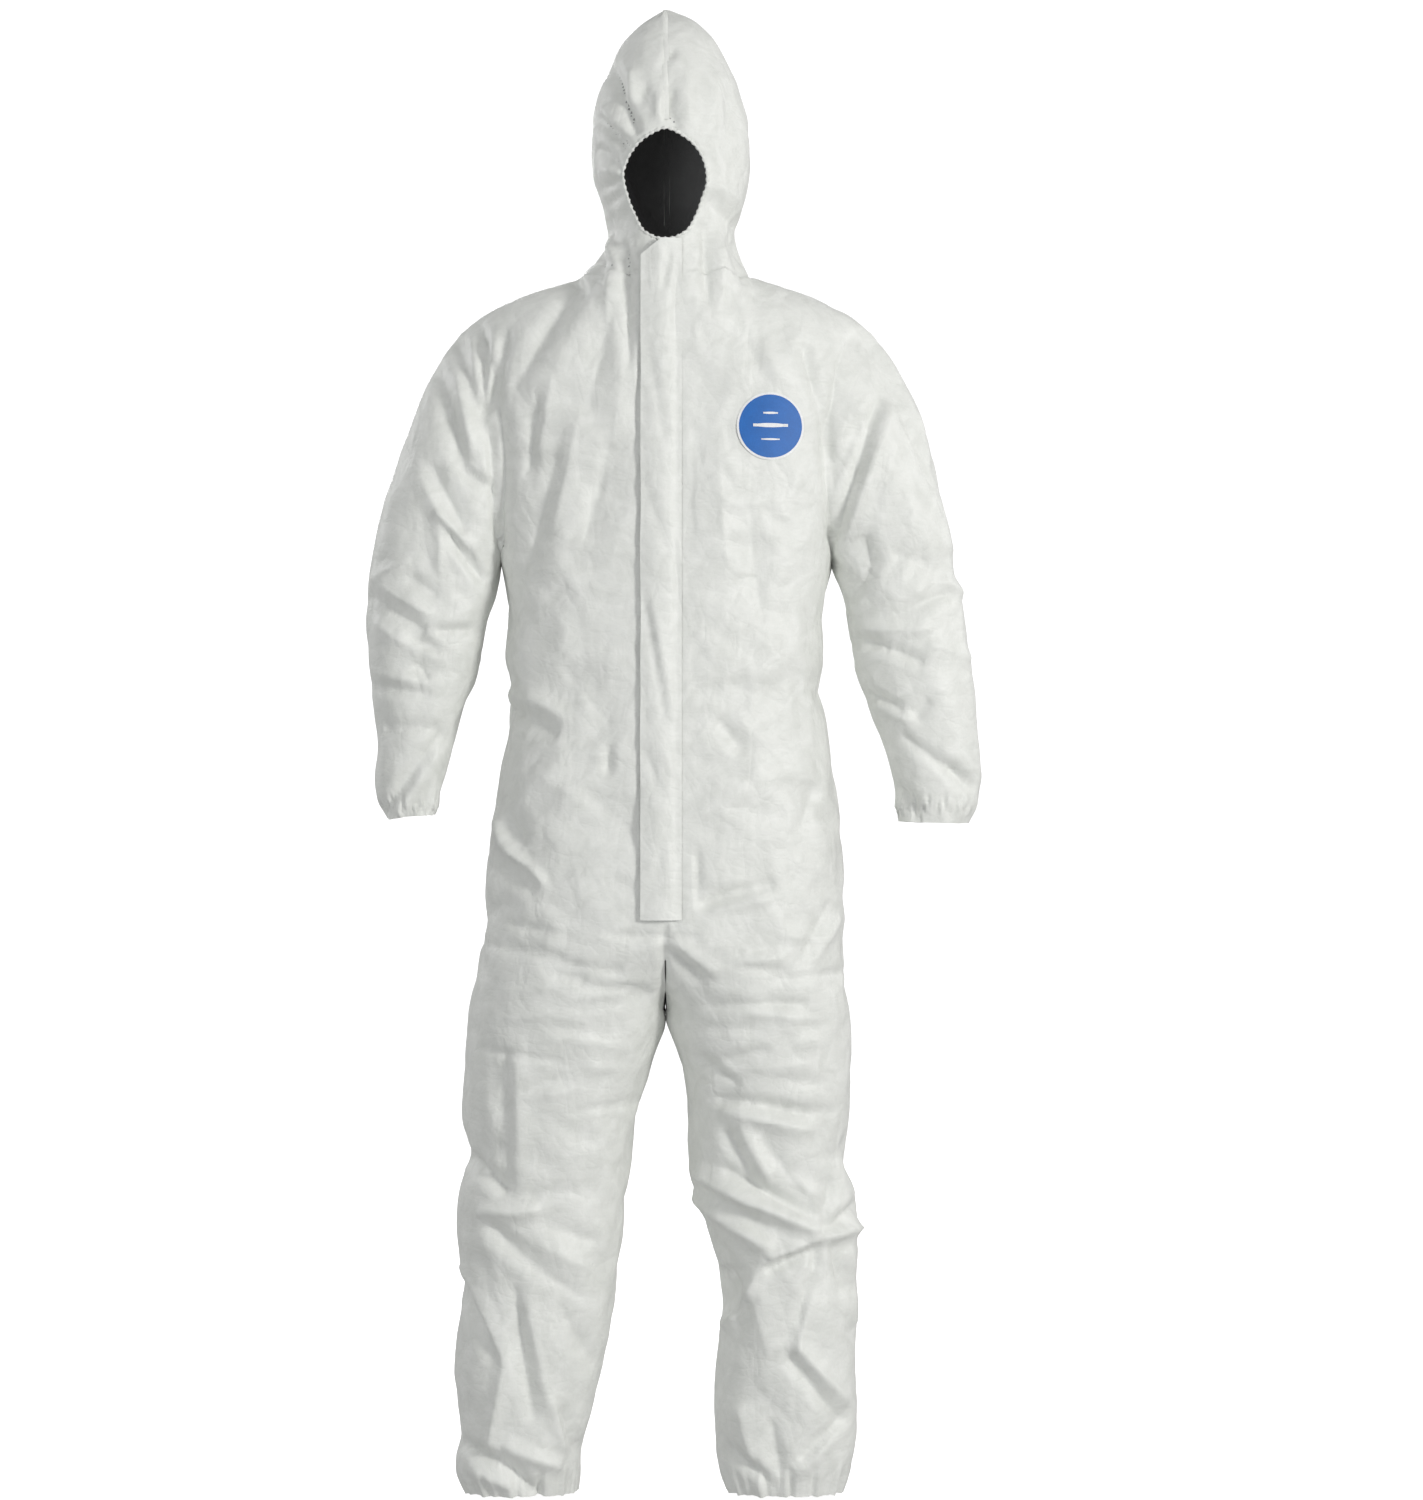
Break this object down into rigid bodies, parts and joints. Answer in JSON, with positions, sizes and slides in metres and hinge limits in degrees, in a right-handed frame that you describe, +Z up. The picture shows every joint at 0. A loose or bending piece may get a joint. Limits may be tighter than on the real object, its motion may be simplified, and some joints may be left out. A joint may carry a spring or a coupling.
{
  "type": "hooded protective coverall",
  "caption": "Hooded one-piece coverall with a zip under a storm flap, a gathered face opening and elastic wrists, waist and ankles.",
  "frame": {"origin": "middle of the neck seam, at the height of the seam where the hood meets the shoulders", "axes": "+Z up the wearer's spine, -Y out of the chest, +X to the wearer's left"},
  "size_m": [0.7018, 0.2609, 1.7114],
  "materials": {
    "suit_cloth": "smooth flash-spun sheet with fine creases and a faint sheen",
    "elastic": "covered elastic, matt",
    "zip_tape": "woven polyester tape",
    "zip_coil": "nylon coil, slightly glossy",
    "zip_metal": "enamelled zinc, satin",
    "badge_blue": "printed film, satin",
    "badge_white": "printed film, satin"
  },
  "bodies": {
    "torso": {"front_panel_left": "suit_cloth", "front_panel_right": "suit_cloth", "back_panel_left": "suit_cloth", "back_panel_right": "suit_cloth", "waist_elastic": "elastic", "size_label": "badge_white", "badge_backing": "badge_white", "chest_badge": "badge_blue", "zip_tape_left": "zip_tape", "zip_tape_right": "zip_tape", "zip_coil_left": "zip_coil", "zip_coil_right": "zip_coil", "zip_top_stop_left": "zip_metal", "zip_top_stop_right": "zip_metal", "zip_bottom_stop": "zip_metal", "hood_neck": "suit_cloth", "sleeve_head_left": "suit_cloth", "sleeve_head_right": "suit_cloth", "leg_top_left": "suit_cloth", "leg_top_right": "suit_cloth"},
    "flap": {"storm_flap": "suit_cloth"},
    "slider": {"zip_slider": "zip_metal"},
    "pull": {"zip_pull": "zip_metal"},
    "hood": {"hood_side_left": "suit_cloth", "hood_side_right": "suit_cloth", "hood_binding": "suit_cloth", "face_hem": "suit_cloth", "face_elastic": "elastic"},
    "upper_arm_left": {"upper_sleeve_left": "suit_cloth", "elbow_zone_left": "suit_cloth"},
    "forearm_left": {"lower_sleeve_left": "suit_cloth", "wrist_hem_left": "suit_cloth", "wrist_elastic_left": "elastic"},
    "thigh_left": {"thigh_left": "suit_cloth", "knee_zone_left": "suit_cloth"},
    "shin_left": {"lower_leg_left": "suit_cloth", "ankle_hem_left": "suit_cloth", "ankle_elastic_left": "elastic"},
    "upper_arm_right": {"upper_sleeve_right": "suit_cloth", "elbow_zone_right": "suit_cloth"},
    "forearm_right": {"lower_sleeve_right": "suit_cloth", "wrist_hem_right": "suit_cloth", "wrist_elastic_right": "elastic"},
    "thigh_right": {"thigh_right": "suit_cloth", "knee_zone_right": "suit_cloth"},
    "shin_right": {"lower_leg_right": "suit_cloth", "ankle_hem_right": "suit_cloth", "ankle_elastic_right": "elastic"}
  },
  "joints": [
    {"name": "hood_fold", "type": "hinge", "parent": "torso", "child": "hood", "pos_m": [0, 0.072, 0.015], "axis": [-1, 0, 0], "range_deg": [0, 80], "deforming": ["hood_neck"]},
    {"name": "flap_open", "type": "hinge", "parent": "torso", "child": "flap", "pos_m": [0.019, -0.12804, -0.738], "axis": [0, 0.0382, 0.9993], "range_deg": [0, 140]},
    {"name": "zip_slide", "type": "slide", "parent": "torso", "child": "slider", "axis": [0, 0.0382, 0.9993], "range_m": [-0.73, 0]},
    {"name": "pull_swing", "type": "hinge", "parent": "slider", "child": "pull", "pos_m": [0, -0.10337, 0.00728], "axis": [-1, 0, 0], "range_deg": [0, 150], "deforming": ["storm_flap"]},
    {"name": "shoulder_raise_left", "type": "hinge", "parent": "torso", "child": "upper_arm_left", "pos_m": [0.225, 0, -0.112], "axis": [0, -1, 0], "range_deg": [0, 75], "deforming": ["sleeve_head_left"]},
    {"name": "elbow_bend_left", "type": "hinge", "parent": "upper_arm_left", "child": "forearm_left", "pos_m": [0.2865, 0, -0.445], "axis": [-1, 0, 0], "range_deg": [0, 75], "deforming": ["elbow_zone_left"]},
    {"name": "hip_swing_left", "type": "hinge", "parent": "torso", "child": "thigh_left", "pos_m": [0.115, 0, -0.76], "axis": [-1, 0, 0], "range_deg": [-15, 75], "deforming": ["leg_top_left"]},
    {"name": "knee_bend_left", "type": "hinge", "parent": "thigh_left", "child": "shin_left", "pos_m": [0.14, 0, -1.09], "axis": [1, 0, 0], "range_deg": [0, 80], "deforming": ["knee_zone_left"]},
    {"name": "shoulder_raise_right", "type": "hinge", "parent": "torso", "child": "upper_arm_right", "pos_m": [-0.225, 0, -0.112], "axis": [0, 1, 0], "range_deg": [0, 75], "deforming": ["sleeve_head_right"]},
    {"name": "elbow_bend_right", "type": "hinge", "parent": "upper_arm_right", "child": "forearm_right", "pos_m": [-0.2865, 0, -0.445], "axis": [-1, 0, 0], "range_deg": [0, 75], "deforming": ["elbow_zone_right"]},
    {"name": "hip_swing_right", "type": "hinge", "parent": "torso", "child": "thigh_right", "pos_m": [-0.115, 0, -0.76], "axis": [-1, 0, 0], "range_deg": [-15, 75], "deforming": ["leg_top_right"]},
    {"name": "knee_bend_right", "type": "hinge", "parent": "thigh_right", "child": "shin_right", "pos_m": [-0.14, 0, -1.09], "axis": [1, 0, 0], "range_deg": [0, 80], "deforming": ["knee_zone_right"]}
  ]
}
